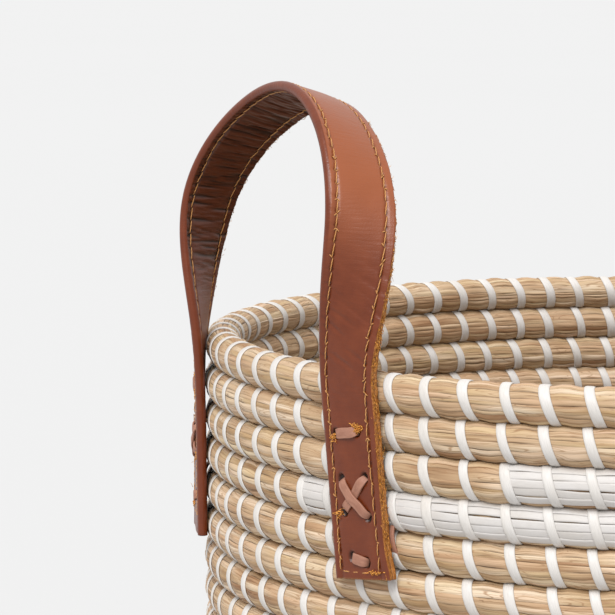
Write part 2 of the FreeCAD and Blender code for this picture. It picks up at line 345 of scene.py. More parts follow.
def thong_material():
    """The lacing: thin undyed thong, pinkish brown and matt, with a lengthwise fibre."""
    look = Surface("thong")
    fibres = look.noise(4.0, 0.6, 4.0, 0.6)
    look.bump(fibres, 0.35, 0.0002)
    colour = look.ramp(fibres, (0.3, (0.27, 0.115, 0.072)), (0.65, (0.37, 0.175, 0.115)))
    return look.finish(colour, 0.62)


def thread_material(name, dark, light):
    """Waxed thread, with the slanting lay of its plies."""
    look = Surface(name)
    plies = look.add("ShaderNodeTexWave", look.grain(2.6, 1.6), Scale=1.0, Distortion=1.5, Detail=2.0,
                     bands_direction="DIAGONAL").outputs["Fac"]
    look.bump(plies, 0.5, 0.0001)
    return look.finish(look.ramp(plies, (0.2, dark), (0.7, light)), 0.5)


straw = straw_material()
stitch_white = strip_material("white_strip", (0.64, 0.615, 0.59), (0.55, 0.525, 0.50), 0.3)
band_white = strip_material("band_strip", (0.56, 0.535, 0.515), (0.51, 0.485, 0.465), 0.12)
leather = leather_material()
thong = thong_material()
thread = thread_material("thread", (0.31, 0.115, 0.026), (0.60, 0.30, 0.095))
fray = thread_material("frayed_edge", (0.36, 0.115, 0.012), (0.78, 0.36, 0.06))

# ---- the coil and its strip

STITCHES = 76
STITCH_SPACING = TAU * RING_RADIUS / STITCHES
# the azimuth of the first stitch, and how far each turn's stitches lie past those of the turn above
STITCH_PHASE = math.radians(0.88)
STITCH_DRIFT = math.radians(0.24)
STITCH_WIDTH = 4.3
STITCH_THICKNESS = 0.55
# points along one loop of the strip, closer together where it turns to go out of sight
LOOP_MARKS = np.concatenate([np.linspace(start, end, count, endpoint=False) for start, end, count in
                             ((0, 0.43, 12), (0.43, 0.57, 10), (0.57, 1, 11))])
# the strip's slant against the coil, as a tangent, at the turn's outer and inner side
OUTER_SLANT = 0.37
INNER_SLANT = 0.30
# the share of a loop in which the strip steps on to the next stitch, out of sight
HIDDEN_SHARE = 0.07
# how far a turn is drawn up and down to meet its neighbours, and how square it is pressed there
STRETCH = 1.12
FLATNESS = 24
STRANDS = 24
# each strand's section, as shares of its width and of its height, and that height
RIDGE = [(0.0, 0.0), (0.10, 0.72), (0.5, 1.0), (0.90, 0.72)]
RIDGE_HEIGHT = 0.30
# how far the straw swells between two stitches, gives way under a white band, and parts in its deepest gaps
BULGE = 0.55
BAND_ROOM = 0.85
GAP_DEPTH = 0.55
# how far a turn's centre line wanders out and up, and a stitch wanders along its turn
SWAY_OUT = 0.28
SWAY_UP = 0.16
STITCH_SWAY = 0.55
# how far the strip rises over a white band, and sinks where it goes out of sight between two turns
BAND_RISE = 0.30
SINK_DEPTH = 2.4
# where rows of straw points lie between one stitch and the next, as shares of the spacing
STRAW_ROWS = np.array([0.0, 0.135, 0.20, 0.40, 0.60, 0.80, 0.865])


def sample_round(curve, azimuth):
    """A closed curve's value at an azimuth, where the curve has even samples once round."""
    count = len(curve)
    return np.interp((azimuth / TAU * count) % count, np.arange(count + 1), np.append(curve, curve[0]))


def outward(azimuth, angle):
    """The direction straight out of a bundle, at an azimuth and an angle round the bundle."""
    return np.stack([np.cos(angle) * np.cos(azimuth), np.cos(angle) * np.sin(azimuth), np.sin(angle)], 1)


class Turn:
    """One turn of the coil: where its centre runs, and where the strip crosses it."""

    def __init__(self, name, seed, below, above, rows_below_rim=0):
        low, high = node_box(name)
        self.name = name
        self.rng = np.random.default_rng(seed)
        self.radius = high[0] - CORE_RADIUS
        self.rise = high[2] - CORE_RADIUS
        self.stitches = max(4, round(TAU * self.radius / STITCH_SPACING))
        self.spacing = TAU * self.radius / self.stitches
        self.phase = STITCH_PHASE + STITCH_DRIFT * max(0, rows_below_rim - 1)
        self.touches_below = below
        self.touches_above = above
        self.on_floor = low[2] < 1
        # a strip goes out of sight under its turn, or at the inner side of a turn that lies on the floor
        self.turned = 0.25 if self.on_floor else 0.0
        self.bands = []
        samples = 360
        self.sway_out = wander(self.rng, 1, samples, 2, 9)[0] * SWAY_OUT
        self.sway_up = wander(self.rng, 1, samples, 2, 9)[0] * (0.0 if self.on_floor else SWAY_UP)
        self.jitter = self.rng.normal(0, STITCH_SWAY, self.stitches).clip(-1.2, 1.2)

    def centre(self, azimuth):
        """Distance of the turn's centre line from the axis, and its height."""
        out = sample_round(self.sway_out, azimuth)
        return self.radius + out, self.rise + sample_round(self.sway_up, azimuth)

    def strip_along(self, loops):
        """How far along the coil the strip's middle is, after this many loops round the bundle.

        A loop starts on top, goes down the outside and comes up the inside."""
        marks = np.arange(self.stitches + 1)
        shift = np.interp(loops % self.stitches, marks, np.append(self.jitter, self.jitter[0]))
        whole = np.floor(loops - self.turned)
        part = loops - self.turned - whole
        cosine = np.cos(TAU * part)
        outside = OUTER_SLANT * CORE_RADIUS
        inside = INNER_SLANT * CORE_RADIUS / 2
        gone = np.where(part < 0.5, outside * (1 - cosine), 2 * outside + inside * (1 + cosine) ** 2)
        hidden = self.spacing - 2 * outside - 4 * inside
        gone = gone + hidden * smooth((part - 0.5) / HIDDEN_SHARE + 0.5)
        return self.phase * self.radius + self.spacing * whole + gone + shift

    def sunk(self, loops):
        """1 where the strip is out of sight between two turns, and 0 where it shows."""
        part = (loops - self.turned) % 1.0
        return 1 - smooth((np.abs(part - 0.5) - HIDDEN_SHARE / 2) / 0.03)

    def on_band(self, azimuth):
        """1 where the white band lies under the strip, fading to 0 at its ends."""
        cover = np.zeros_like(azimuth)
        for band in self.bands:
            start, end = (self.crossing(stitch, 0.25) for stitch in band)
            away = np.abs((azimuth - (start + end) / 2 + math.pi) % TAU - math.pi)
            cover = np.maximum(cover, np.clip(((end - start) / 2 - away) / math.radians(0.3) + 0.5, 0, 1))
        return cover

    def crossing(self, stitch, part):
        """The azimuth where a stitch, by its number, is this part of a loop round the bundle."""
        return self.strip_along(stitch + part) / self.radius

    def stitch_at(self, azimuth):
        """The number of the stitch that crosses the outside of the turn nearest to an azimuth."""
        guess = round((azimuth * self.radius - self.strip_along(0.25)) / self.spacing)
        near = (guess - 1, guess, guess + 1)
        return min(near, key=lambda stitch: abs(self.crossing(stitch, 0.25) - azimuth))

    def nearness(self, azimuth, angle):
        """Distance along the coil from a point on the bundle to the nearest pass of the strip."""
        loops = ((math.pi / 2 - angle) / TAU) % 1.0
        along = azimuth * self.radius
        first = np.floor((along - self.phase * self.radius) / self.spacing)
        length = TAU * self.radius
        nearest = np.full(np.broadcast(azimuth, angle).shape, 1e9)
        for step in (-2, -1, 0, 1):
            away = self.strip_along(first + step + loops) - along
            away = (away + length / 2) % length - length / 2
            nearest = np.minimum(nearest, np.abs(away))
        return nearest

    def place(self, azimuth, angle, reach):
        """A point at a distance from the bundle's centre line, pressed flat where turns meet."""
        out, up = self.centre(azimuth)
        rise = reach * np.sin(angle)
        room = COIL_PITCH / 2 + 0.25
        pressed = rise * STRETCH / (1 + (np.abs(rise) * STRETCH / room) ** FLATNESS) ** (1 / FLATNESS)
        above = self.touches_above & (rise > 0)
        below = self.touches_below & (rise < 0)
        rise = np.where(above | below, pressed, rise)
        radius = out + reach * np.cos(angle)
        height = up + rise
        if self.on_floor:
            height = np.maximum(height, 0.05)
        return np.stack([radius * np.cos(azimuth), radius * np.sin(azimuth), height], -1)


def under_band(angle):
    """1 on the outer side of a bundle, where a white band may lie, fading to 0 past its edges."""
    return smooth((np.cos(angle) + 0.30) / 0.2) * smooth((np.sin(angle) + 0.86) / 0.16)


def straw_turn(turn):
    """The seagrass bundle of one turn: long strands side by side, nipped in under each stitch.

    Rows of points run round the bundle beside the strip, so a row that starts under one stitch
    meets, once round, the row that starts under the next."""
    rng = turn.rng
    a_stitch = len(STRAW_ROWS)
    rows = turn.stitches * a_stitch
    columns = STRANDS * len(RIDGE)
    samples = max(24, round(TAU * turn.radius / 2.5))
    longest = max(1, round(TAU * turn.radius / 260))
    middling = max(longest + 2, round(TAU * turn.radius / 40))
    finest = max(longest + 3, round(TAU * turn.radius / 26))
    widths = rng.uniform(0.45, 1.6, STRANDS)
    starts = np.concatenate([[0], np.cumsum(widths)]) / widths.sum()
    drift = wander(rng, STRANDS, samples, longest, middling) * 0.0048
    drift = np.vstack([drift, drift[:1]])
    lift = wander(rng, STRANDS, samples, longest, middling) * 0.15
    crack = np.clip(wander(rng, STRANDS, samples, longest, finest, 0.15) - 0.25, 0, 1.4) / 1.4
    tone, hue = (mean + spread * wander(rng, STRANDS, samples, longest, middling, 0.3)
                 + rng.normal(0, 0.14, (STRANDS, 1)) for mean, spread in ((0.55, 0.17), (0.5, 0.18)))
    number, row = np.divmod(np.arange(rows), a_stitch)
    share = STRAW_ROWS[row]
    points = np.zeros((rows, columns, 3))
    along = np.zeros((rows, columns))
    tones, hues, gaps = (np.zeros((rows, columns)) for _ in range(3))
    for strand in range(STRANDS):
        for place, (part, height) in enumerate(RIDGE):
            column = strand * len(RIDGE) + place
            guess = 0.5 + starts[strand] + (starts[strand + 1] - starts[strand]) * part
            azimuth = (turn.strip_along(number + guess) + share * turn.spacing) / turn.radius
            low = starts[strand] + sample_round(drift[strand], azimuth)
            high = starts[strand + 1] + sample_round(drift[strand + 1], azimuth)
            loops = 0.5 + low + (high - low) * part
            azimuth = (turn.strip_along(number + loops) + share * turn.spacing) / turn.radius
            angle = math.pi / 2 - TAU * loops
            wide = min(1.0, widths[strand] / 1.2)
            # the groove between two strands takes after both of them
            pair = (strand, strand - 1 if place == 0 else strand)
            raised, tones[:, column], hues[:, column] = (
                sum(sample_round(curves[one], azimuth) for one in pair) / 2 for curves in (lift, tone, hue))
            if place == 0:
                open_gap = sample_round(crack[strand], azimuth)
                raised = raised - GAP_DEPTH * open_gap
                # painted shade in the groove at the foot of each strand, deeper where the gap opens
                gaps[:, column] = np.clip(0.12 + open_gap * 1.5, 0, 0.97)
            relief = raised + height * RIDGE_HEIGHT * wide
            off = np.minimum(share, 1 - share) * turn.spacing
            nip = 1 - smooth((off - STITCH_WIDTH / 2) / 5.0)
            swell = BULGE * smooth((off - STITCH_WIDTH / 2 + 0.2) / 5.5)
            reach = CORE_RADIUS - 0.12 + swell + relief * (1 - 0.8 * nip)
            reach = np.where(off < STITCH_WIDTH / 2 + 0.4, np.minimum(reach, CORE_RADIUS - 0.02), reach)
            reach = reach - BAND_ROOM * turn.on_band(azimuth) * under_band(angle)
            points[:, column] = turn.place(azimuth, angle, reach)
            along[:, column] = azimuth * turn.radius
    _, i, j = grid_quads(rows, columns, closed=True)
    corners = np.stack([i, i + 1, i + 1, i], 1)
    lines = np.stack([j, j, j + 1, j + 1], 1)
    wrapped = lines == columns
    corners = corners + wrapped * a_stitch
    quads = (corners % rows) * columns + lines % columns
    u = along[corners % rows, lines % columns] + (corners >= rows) * TAU * turn.radius
    v = np.where(wrapped, 1.0, lines / columns) * TAU * CORE_RADIUS
    uv = np.stack([u, v], -1).reshape(-1, 2) * MM + rng.uniform(0, 9, 2)
    marks = {"tone": np.clip(tones, 0, 1), "hue": np.clip(hues, 0, 1), "gap": gaps}
    mesh = build_mesh(turn.name + "_straw", points.reshape(-1, 3), quads, uv=uv, marks=marks)
    made = piece(turn.name + "_straw", mesh, straw, "basket")
    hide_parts(turn.name)


STRIP_PROFILE = np.array([(-1, 0.10), (-0.94, 0.70), (-0.55, 0.98), (0.0, 1.0), (0.55, 0.98), (0.94, 0.70),
                          (1, 0.10), (0.0, 0.0)])


def ribbon(points, lift, across, width, thickness, profile=STRIP_PROFILE):
    """Sweeps a flat strip's section along points, given the way it lifts off and the way it is wide."""
    half = (np.broadcast_to(width, len(points)) / 2)[:, None, None]
    return (points[:, None, :] + profile[None, :, :1] * half * across[:, None, :]
            + profile[None, :, 1:] * thickness * lift[:, None, :])


def stitch_turn(turn):
    """The white strip that winds round one turn and closes on itself."""
    steps = turn.stitches * len(LOOP_MARKS)
    loops = (np.arange(turn.stitches)[:, None] + LOOP_MARKS + turn.turned).ravel()
    angle = math.pi / 2 - TAU * loops
    azimuth = turn.strip_along(loops) / turn.radius
    reach = CORE_RADIUS + 0.02 + BAND_RISE * turn.on_band(azimuth) * under_band(angle)
    reach = reach - SINK_DEPTH * turn.sunk(loops)
    points = turn.place(azimuth, angle, reach)
    ahead = unit(np.roll(points, -1, 0) - np.roll(points, 1, 0))
    across = unit(np.cross(ahead, outward(azimuth, angle)))
    lift = np.cross(across, ahead)
    ripple = wander(turn.rng, 1, steps, turn.stitches // 3 + 1, turn.stitches * 2)[0]
    width = STITCH_WIDTH * (1 + 0.045 * ripple) * (1 - 0.6 * turn.sunk(loops))
    section = ribbon(points, lift, across, width, STITCH_THICKNESS)
    if turn.on_floor:
        section[..., 2] = np.maximum(section[..., 2], 0.02)
    quads, i, j = grid_quads(steps, len(STRIP_PROFILE), closed=True)
    uv = grid_uv(i, j, TAU * CORE_RADIUS / len(LOOP_MARKS), STITCH_WIDTH / 4)
    mesh = build_mesh(turn.name + "_strip", section.reshape(-1, 3), quads, uv=uv)
    return piece(turn.name + "_strip", mesh, stitch_white, "basket")


# half of each band's length, on the front and on the back, as an angle from the middle of that side
BAND_HALVES = {"upper": np.radians([51.3, 51.3]), "lower": np.radians([77.8, 60.5])}
FACINGS = {"front": math.radians(270), "back": math.radians(90)}
BAND_STRIPS = 6
BAND_STRIP_WIDTH = 3.42
BAND_STRIP_THICKNESS = 0.45
# where the strips lie round the turn, in degrees up from its outer side
BAND_TOP_ANGLE = 78
BAND_STEP_ANGLE = 22.8


def white_band(turn, side, level):
    """Flat white strips laid side by side along the outside of a turn, under the stitches."""
    first, last = turn.bands[list(FACINGS).index(side)]
    rng = np.random.default_rng(len(side) * 10 + len(level) + turn.stitches)
    steps = (last - first) * 8
    strips = []
    for number in range(BAND_STRIPS):
        middle = math.radians(BAND_TOP_ANGLE - BAND_STEP_ANGLE * number)
        part = (math.pi / 2 - middle) / TAU
        ends = rng.uniform(-0.003, 0.003, 2)
        start, end = turn.crossing(first, part) + ends[0], turn.crossing(last, part) + ends[1]
        azimuth = np.linspace(start, end, steps)
        sway = wander(rng, 1, steps * 2, 3, 24)[0][:steps] * math.radians(1.3)
        parted = bell(azimuth - rng.uniform(azimuth[0], azimuth[-1]), 0.05)
        angle = middle + sway - parted * math.radians(3.4)
        near = turn.nearness(azimuth, angle)
        reach = CORE_RADIUS - 0.22 + 0.14 * (number % 2) + 0.30 * smooth((near - STITCH_WIDTH / 2) / 4.5)
        spine = turn.place(azimuth, angle, reach)
        lift = outward(azimuth, angle)
        ahead = unit(np.gradient(spine, axis=0))
        section = ribbon(spine, lift, np.cross(ahead, lift), BAND_STRIP_WIDTH, BAND_STRIP_THICKNESS)
        strips.append(tube(section, 2.0, BAND_STRIP_WIDTH / 4, rng.uniform(0, 3, 2)))
    name = f"{side}_{level}_band_strips"
    made = piece(name, joined(name, strips), band_white, "basket")
    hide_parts(f"{side}_{level}_white_band")


def build_coil():
    names = [f"wall_turn_{number:02d}" for number in range(1, WALL_TURNS)] + ["rim_turn"]
    wall = [Turn(name, 100 + number, number > 0, number < WALL_TURNS - 1, WALL_TURNS - 1 - number)
            for number, name in enumerate(names)]
    base = [Turn(f"base_turn_{number:02d}", 200 + number, False, False)
            for number in range(1, BASE_TURNS + 1)]
    for level, rows_below_rim in (("upper", 2), ("lower", 3)):
        turn = wall[WALL_TURNS - 1 - rows_below_rim]
        turn.bands = [(turn.stitch_at(facing - half), turn.stitch_at(facing + half))
                      for facing, half in zip(FACINGS.values(), BAND_HALVES[level])]
        for side in FACINGS:
            white_band(turn, side, level)
    for turn in wall + base:
        straw_turn(turn)
        strip = stitch_turn(turn)
        if turn.name == "rim_turn":
            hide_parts("rim_stitches")


build_coil()

# ---- the leather strap

STRAP_WIDTH = 28.4
STRAP_THICKNESS = 4.1
STRAP_REACH = RING_RADIUS + CORE_RADIUS + 3.0
# where round the basket the legs lie, how they spread downward, and the drop where they are that far apart
STRAP_LEAN = math.radians(21.4)
STRAP_CLIMB = math.tan(math.radians(6.5))
LEG_MIDDLE_DROP = 44.0
FRONT_LEG_DROP = 84.0
BACK_LEG_DROP = 92.0
# points the arch passes through: along the rim, out from the axis, above the rim, and its face's turn
SIDE_KNOT = (74.85, 197.3, 60.6, math.radians(72.5))
SHOULDER_KNOT = (35.0, 187.5, 99.5, math.radians(105.0))
CROWN_KNOT = (0.0, 185.1, 108.2, math.radians(108.4))
# the back leg turns its face up sooner than the front leg does, and its end swings a little to the front
BACK_TURN = math.radians(9)
BACK_SWAY = 7.0
ROW_LENGTH = 0.72
FOLD_SEAM = STRAP_WIDTH / 2 - 4.4
RAW_SEAM = -STRAP_WIDTH / 2 + 3.7
STITCH_LENGTH = 6.0
# how far the thread's first and last stitch are from the strap's ends
FIRST_STITCH = 9.0
LAST_STITCH = 3.4
THREAD_RADIUS = 0.27
GROOVE_DEPTH = 0.42
# half a lace hole's length along the strap, half its width, and its depth
HOLE_LENGTH = 2.2
HOLE_WIDTH = 1.7
HOLE_DEPTH = 1.6
FIBRES = 1500


def natural_spline(marks, values, at):
    """A smooth curve through values at marks, free at both ends."""
    gaps = np.diff(marks)
    count = len(marks)
    system = np.eye(count)
    slopes = np.diff(values, axis=0) / gaps[:, None]
    right = np.zeros_like(values)
    for k in range(1, count - 1):
        system[k, k - 1:k + 2] = gaps[k - 1], 2 * (gaps[k - 1] + gaps[k]), gaps[k]
        right[k] = 6 * (slopes[k] - slopes[k - 1])
    bends = np.linalg.solve(system, right)
    k = np.clip(np.searchsorted(marks, at, side="right") - 1, 0, count - 2)
    gap = gaps[k][:, None]
    before = (marks[k + 1] - at)[:, None] / gap
    after = 1 - before
    return (before * values[k] + after * values[k + 1]
            + ((before ** 3 - before) * bends[k] + (after ** 3 - after) * bends[k + 1]) * gap ** 2 / 6)


def smoothed_noise(rng, x, y, wave_x, wave_y, count=28):
    """A smooth random pattern of about unit height, with waves of these lengths along x and y."""
    total = np.zeros(np.broadcast(x, y).shape)
    for _ in range(count):
        kx = rng.normal() / wave_x
        ky = rng.normal() / wave_y
        total += np.cos(TAU * (kx * x + ky * y) + rng.uniform(0, TAU))
    return total / math.sqrt(count / 2)


class Strap:
    """The line of one handle's strap, from the end of its back leg over the arch to its front leg.

    Places on it are (u, s, n): along the strap, across it towards the folded edge, and out of its face."""

    def __init__(self, side):
        self.side = side
        self.hand = {"left": -1, "right": 1}[side]
        self.rng = np.random.default_rng(5 + self.hand)
        back = [self.on_leg(-BACK_LEG_DROP, BACK_SWAY), self.on_leg(-62, BACK_SWAY / 2)]
        back += [self.on_leg(rise) for rise in (-38, -16, -6)] + [SIDE_KNOT, SHOULDER_KNOT]
        for knot, share in ((3, 0.4), (4, 0.8), (5, 1.0)):
            back[knot] = (*back[knot][:3], back[knot][3] + BACK_TURN * share)
        front = [self.on_leg(rise) for rise in (-FRONT_LEG_DROP, -62, -38, -16, -6)]
        front += [SIDE_KNOT, SHOULDER_KNOT]
        front = [(-along, out, rise, turn) for along, out, rise, turn in reversed(front)]
        knots = np.array(back + [CROWN_KNOT] + front)
        marks = distance_along(knots[:, :3])
        fine = np.linspace(0, marks[-1], 4000)
        line = natural_spline(marks, knots, fine)
        length = distance_along(line[:, :3])
        self.length = length[-1]
        self.rows = round(self.length / ROW_LENGTH) + 1
        self.u = np.linspace(0, self.length, self.rows)
        at = np.interp(self.u, length, fine)
        line = natural_spline(marks, knots, at)
        self.points = line[:, :3]
        ahead = unit(np.gradient(self.points, axis=0))
        out = unit(np.array([0.0, 1.0, 0.0]) - ahead * ahead[:, 1:2])
        away = np.stack([ahead[:, 2], np.zeros(self.rows), -ahead[:, 0]], 1)
        away = unit(away - out * np.sum(away * out, 1, keepdims=True))
        turn = line[:, 3:4]
        self.faces = unit(out * np.cos(turn) + away * np.sin(turn))
        self.across = np.cross(ahead, self.faces)

    @staticmethod
    def on_leg(rise, sway=0.0):
        inward = (rise + LEG_MIDDLE_DROP) * STRAP_CLIMB + sway
        return (STRAP_REACH * math.sin(STRAP_LEAN) - inward * math.cos(STRAP_LEAN),
                STRAP_REACH * math.cos(STRAP_LEAN) + inward * math.sin(STRAP_LEAN), rise,
                STRAP_LEAN - sway / STRAP_REACH)

    def along_leg(self, leg, drop):
        """How far along the strap a point is that lies this far below the rim on a leg."""
        half = self.rows // 2
        if leg == "back":
            return np.interp(-drop, self.points[:half, 2], self.u[:half])
        return np.interp(drop, -self.points[half:, 2], self.u[half:])

    def at(self, u, s, n):
        """The points at places on the strap, in the frame's axes, and the outward directions there."""
        line, across, face = (
            np.stack([np.interp(u, self.u, values[:, axis]) for axis in range(3)], -1)
            for values in (self.points, self.across, self.faces))
        place = line + across * s[..., None] + face * n[..., None]
        return self.to_frame(place, RIM_TOP), self.to_frame(face, 0)

    def to_frame(self, vectors, lift):
        """Turns (along the rim, out from the axis, up) into the frame's x, y and z."""
        return np.stack([self.hand * vectors[..., 1], vectors[..., 0], vectors[..., 2] + lift], -1)

    def on_arch(self, u):
        """1 over the free arch, and 0 on the legs."""
        rise = np.interp(u, self.u, self.points[:, 2])
        return smooth((rise - 8) / 40)

    def ride(self, made):
        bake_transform(made)


def strap_outline():
    """The strap's section, counted from the raw edge over the face, round the fold and back underneath.

    Gives points (across, out), their outward directions, and what part each is of."""
    half = STRAP_WIDTH / 2
    thick = STRAP_THICKNESS / 2
    spread = np.linspace(-half + 0.12, half - thick, 50)
    bend = np.linspace(math.pi / 2, -math.pi / 2, 15)[1:-1]
    face = np.stack([spread, np.full_like(spread, thick)], 1)
    fold = np.stack([half - thick + thick * np.cos(bend), thick * np.sin(bend)], 1)
    under = face[::-1] * (1, -1)
    edge = np.array([(0.0, -thick + 0.3), (0.0, -1.5), (0.0, -0.9), (0.05, -0.35), (0.75, -0.12),
                     (0.75, 0.12), (0.05, 0.35), (0.0, 0.9), (0.0, 1.5), (0.0, thick - 0.3)]) + (-half, 0)
    points = np.concatenate([face, fold, under, edge])
    away = np.concatenate([0 * face + (0, 1), unit(fold - (half - thick, 0)), 0 * under - (0, 1),
                           0 * edge - (1, 0)])
    kind = np.repeat([0, 1, 2, 3], [len(face), len(fold), len(under), len(edge)])
    return points, away, kind


def lacing_plan():
    """Each leg's laces as (name, stations, width), with stations (across, drop, out of the face)."""
    deep = -HOLE_DEPTH
    return [
        ("top", [(6.4, 25.0, deep), (5.6, 25.0, 0.0), (4.6, 24.9, 0.2), (1.0, 24.7, 0.35),
                 (-2.8, 24.4, 0.2), (-3.2, 24.3, 0.0), (-4.0, 24.2, deep)], 4.4),
        ("under", [(-6.3, 43.4, deep), (-5.7, 44.2, 0.0), (-2.4, 48.0, 0.2), (1.0, 51.8, 0.2),
                   (4.3, 55.2, 0.0), (5.0, 56.0, deep)], 4.0),
        ("over", [(5.4, 43.8, deep), (4.9, 44.7, 0.1), (3.0, 47.8, 0.7), (-0.4, 51.6, 1.3),
                  (-3.6, 54.8, 0.7), (-5.8, 57.4, 0.1), (-6.6, 58.3, deep)], 4.0),
        ("bottom", [(2.9, 75.1, deep), (2.2, 75.3, 0.0), (-0.6, 76.1, 0.3), (-3.0, 76.8, 0.0),
                    (-3.8, 77.1, deep)], 4.4),
    ]


# how far past the end of a lace its hole is centred
HOLE_SHIFT = 0.5


def strap_holes(strap):
    """Where thongs pass through the strap: (u, s) of each punched hole."""
    holes = []
    for leg in ("front", "back"):
        for _, stations, _ in lacing_plan():
            ends = np.array([stations[0][:2], stations[-1][:2]])
            for s, drop in ends + unit(ends - ends[::-1]) * HOLE_SHIFT:
                holes.append((float(strap.along_leg(leg, drop)), s))
    return np.array(holes)


def seam_plan(strap):
    """Every stitch of the thread as (u, s) to (u, s), with the face it lies on: 1 outer, -1 under."""
    rng = strap.rng
    plan = []
    end = strap.length - LAST_STITCH
    count = round((end - FIRST_STITCH) / STITCH_LENGTH)
    edges = np.linspace(FIRST_STITCH, end, count + 1)
    for seam in (FOLD_SEAM, RAW_SEAM):
        sway = smoothed_noise(rng, edges, 0 * edges, 60, 1) * 0.22
        for side in (1, -1):
            for k in range(count):
                slant = rng.normal(0.28, 0.12) * side
                plan.append((edges[k] + 0.12, seam + sway[k] - slant,
                             edges[k + 1] - 0.12, seam + sway[k + 1] + slant, side))
                for way in (-1, 1):
                    if side == 1 and rng.random() < 0.36:
                        tick = rng.uniform(0.6, 1.4) * way
                        lead = rng.uniform(0.5, 1.6) * rng.choice([-1, 1])
                        plan.append((edges[k], seam + sway[k], edges[k] + lead, seam + sway[k] + tick, side))
    for u in (FIRST_STITCH - 0.4, end + 0.4):
        stops = np.linspace(RAW_SEAM + 0.3, FOLD_SEAM - 0.3, 5)
        for near, far in zip(stops, stops[1:]):
            plan.append((u, near + 0.3, u + rng.normal(0, 0.25), far - 0.3, 1))
    return plan


def strap_leather(strap):
    """The folded leather of one handle, with its grooves, its wrinkles and its raw edge."""
    rng = strap.rng
    outline, away, kind = strap_outline()
    u = strap.u[:, None]
    s = outline[None, :, 0] + 0 * u
    n = outline[None, :, 1] + 0 * u
    arch = strap.on_arch(u)
    rise = np.interp(u, strap.u, strap.points[:, 2])
    face, fold, under, raw = (kind == part for part in range(4))
    flat = face | under
    between = np.clip((s - RAW_SEAM) / (FOLD_SEAM - RAW_SEAM), 0, 1)
    dome = 0.30 * np.sin(math.pi * between) ** 0.7
    groove = bell(s - FOLD_SEAM, 0.75) + bell(s - RAW_SEAM, 0.65)
    lift = flat * (dome - GROOVE_DEPTH * groove)
    lift = lift + (flat | fold) * bell(s - STRAP_WIDTH / 2 + 2.6, 1.5) * 0.20
    phase = (u - FIRST_STITCH) / STITCH_LENGTH
    pinch = bell(s - FOLD_SEAM - 1.0, 1.1) * np.maximum(np.cos(phase * TAU), 0) ** 6 * 0.34
    lift = lift - flat * pinch
    fine = smoothed_noise(rng, u, s, 2.6, 34, 40)
    deep = smoothed_noise(rng, u, s, 4.5, 50, 30)
    creases = -np.abs(fine) * 0.32 - np.maximum(deep - 0.5, 0) * 0.45
    lift = lift + under * arch * creases
    slanted = smoothed_noise(rng, u + 0.45 * s, s, 8, 40, 24)
    lift = lift - face * bell(rise - 14, 22) * np.maximum(slanted - 0.25, 0) * 0.28
    lift = lift + face * smoothed_noise(rng, u, s, 70, 30, 20) * 0.10
    wavy = smoothed_noise(rng, u, n, 9, 6, 24) * 0.16 + smoothed_noise(rng, u, n, 1.6, 1.2, 40) * 0.10
    lift = lift + raw * wavy
    end_flare = smooth((u - (strap.length - 18)) / 18) ** 1.5 * 2.0
    s = s - end_flare * np.clip(-s / (STRAP_WIDTH / 2), 0, 1) ** 3
    pit = np.zeros_like(s)
    for hole_u, hole_s in strap_holes(strap):
        reach = np.sqrt(((u - hole_u) / HOLE_LENGTH) ** 2 + ((s - hole_s) / HOLE_WIDTH) ** 2)
        pit = np.maximum(pit, face * smooth((1.25 - reach) / 0.5))
    lift = lift - HOLE_DEPTH * pit
    pricks = bell(s - FOLD_SEAM, 0.6) + bell(s - RAW_SEAM, 0.6)
    pricks = pricks * flat * bell(((phase + 0.5) % 1 - 0.5) * STITCH_LENGTH, 0.55)
    lift = lift - 0.35 * pricks
    s = s + lift * away[None, :, 0]
    n = n + lift * away[None, :, 1]
    place, _ = strap.at(u + 0 * s, s, n)
    quads, i, j = grid_quads(*s.shape)
    caps = end_caps(*s.shape)
    steps = np.linalg.norm(np.roll(outline, -1, 0) - outline, axis=1)
    travel = np.concatenate([[0], np.cumsum(steps)])
    uv = np.stack([np.stack([i, i + 1, i + 1, i], 1) * ROW_LENGTH,
                   travel[np.stack([j, j, j + 1, j + 1], 1)]], -1) * MM + rng.uniform(0, 5, 2)
    tip = np.maximum(smooth((0.5 - u) / 0.5), smooth((u - strap.length + 0.5) / 0.5))
    # painted shade in the lace holes, stitch pricks, seam grooves and underside creases
    painted_recess_shade = np.clip(pit * 1.4 + 0.6 * pricks + 0.16 * flat * groove
                   + under * arch * np.maximum(-creases - 0.25, 0) * 1.6, 0, 1)
    marks = {"raw": np.clip(raw + 0 * u + tip * 0.8 * (1 - fold), 0, 1), "painted_recess_shade": painted_recess_shade,
             # the next two marks are a painted highlight on the upper arch face and painted shade on the
             # strap's under face
             "inside": under * (0.15 + 0.85 * arch), "painted_arch_highlight": face * smooth((rise - 35) / 45) * 0.75}
    uv = uv.reshape(-1, 4, 2)
    if strap.hand > 0:
        quads = quads[:, ::-1]
        uv = uv[:, ::-1]
        caps = [cap[::-1] for cap in caps]
    name = f"{strap.side}_strap"
    mesh = build_mesh(name, place.reshape(-1, 3), quads, caps, uv=uv.reshape(-1, 2), marks=marks)
    made = piece(name, mesh, leather, None)
    strap.ride(made)
    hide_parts(f"{strap.side}_handle_arch", f"{strap.side}_handle_front_leg",
                f"{strap.side}_handle_back_leg")


def rings_round(line, face, radius, sides):
    """Rings of points round a line, or round many, each ring starting square to its line and to face."""
    ahead = unit(np.gradient(line, axis=-2))
    sideways = unit(np.cross(ahead, face))
    out = np.cross(sideways, ahead)
    ring = np.arange(sides) * TAU / sides
    circle = np.cos(ring)[:, None] * sideways[..., None, :] + np.sin(ring)[:, None] * out[..., None, :]
    return line[..., None, :] + radius[..., None, None] * circle


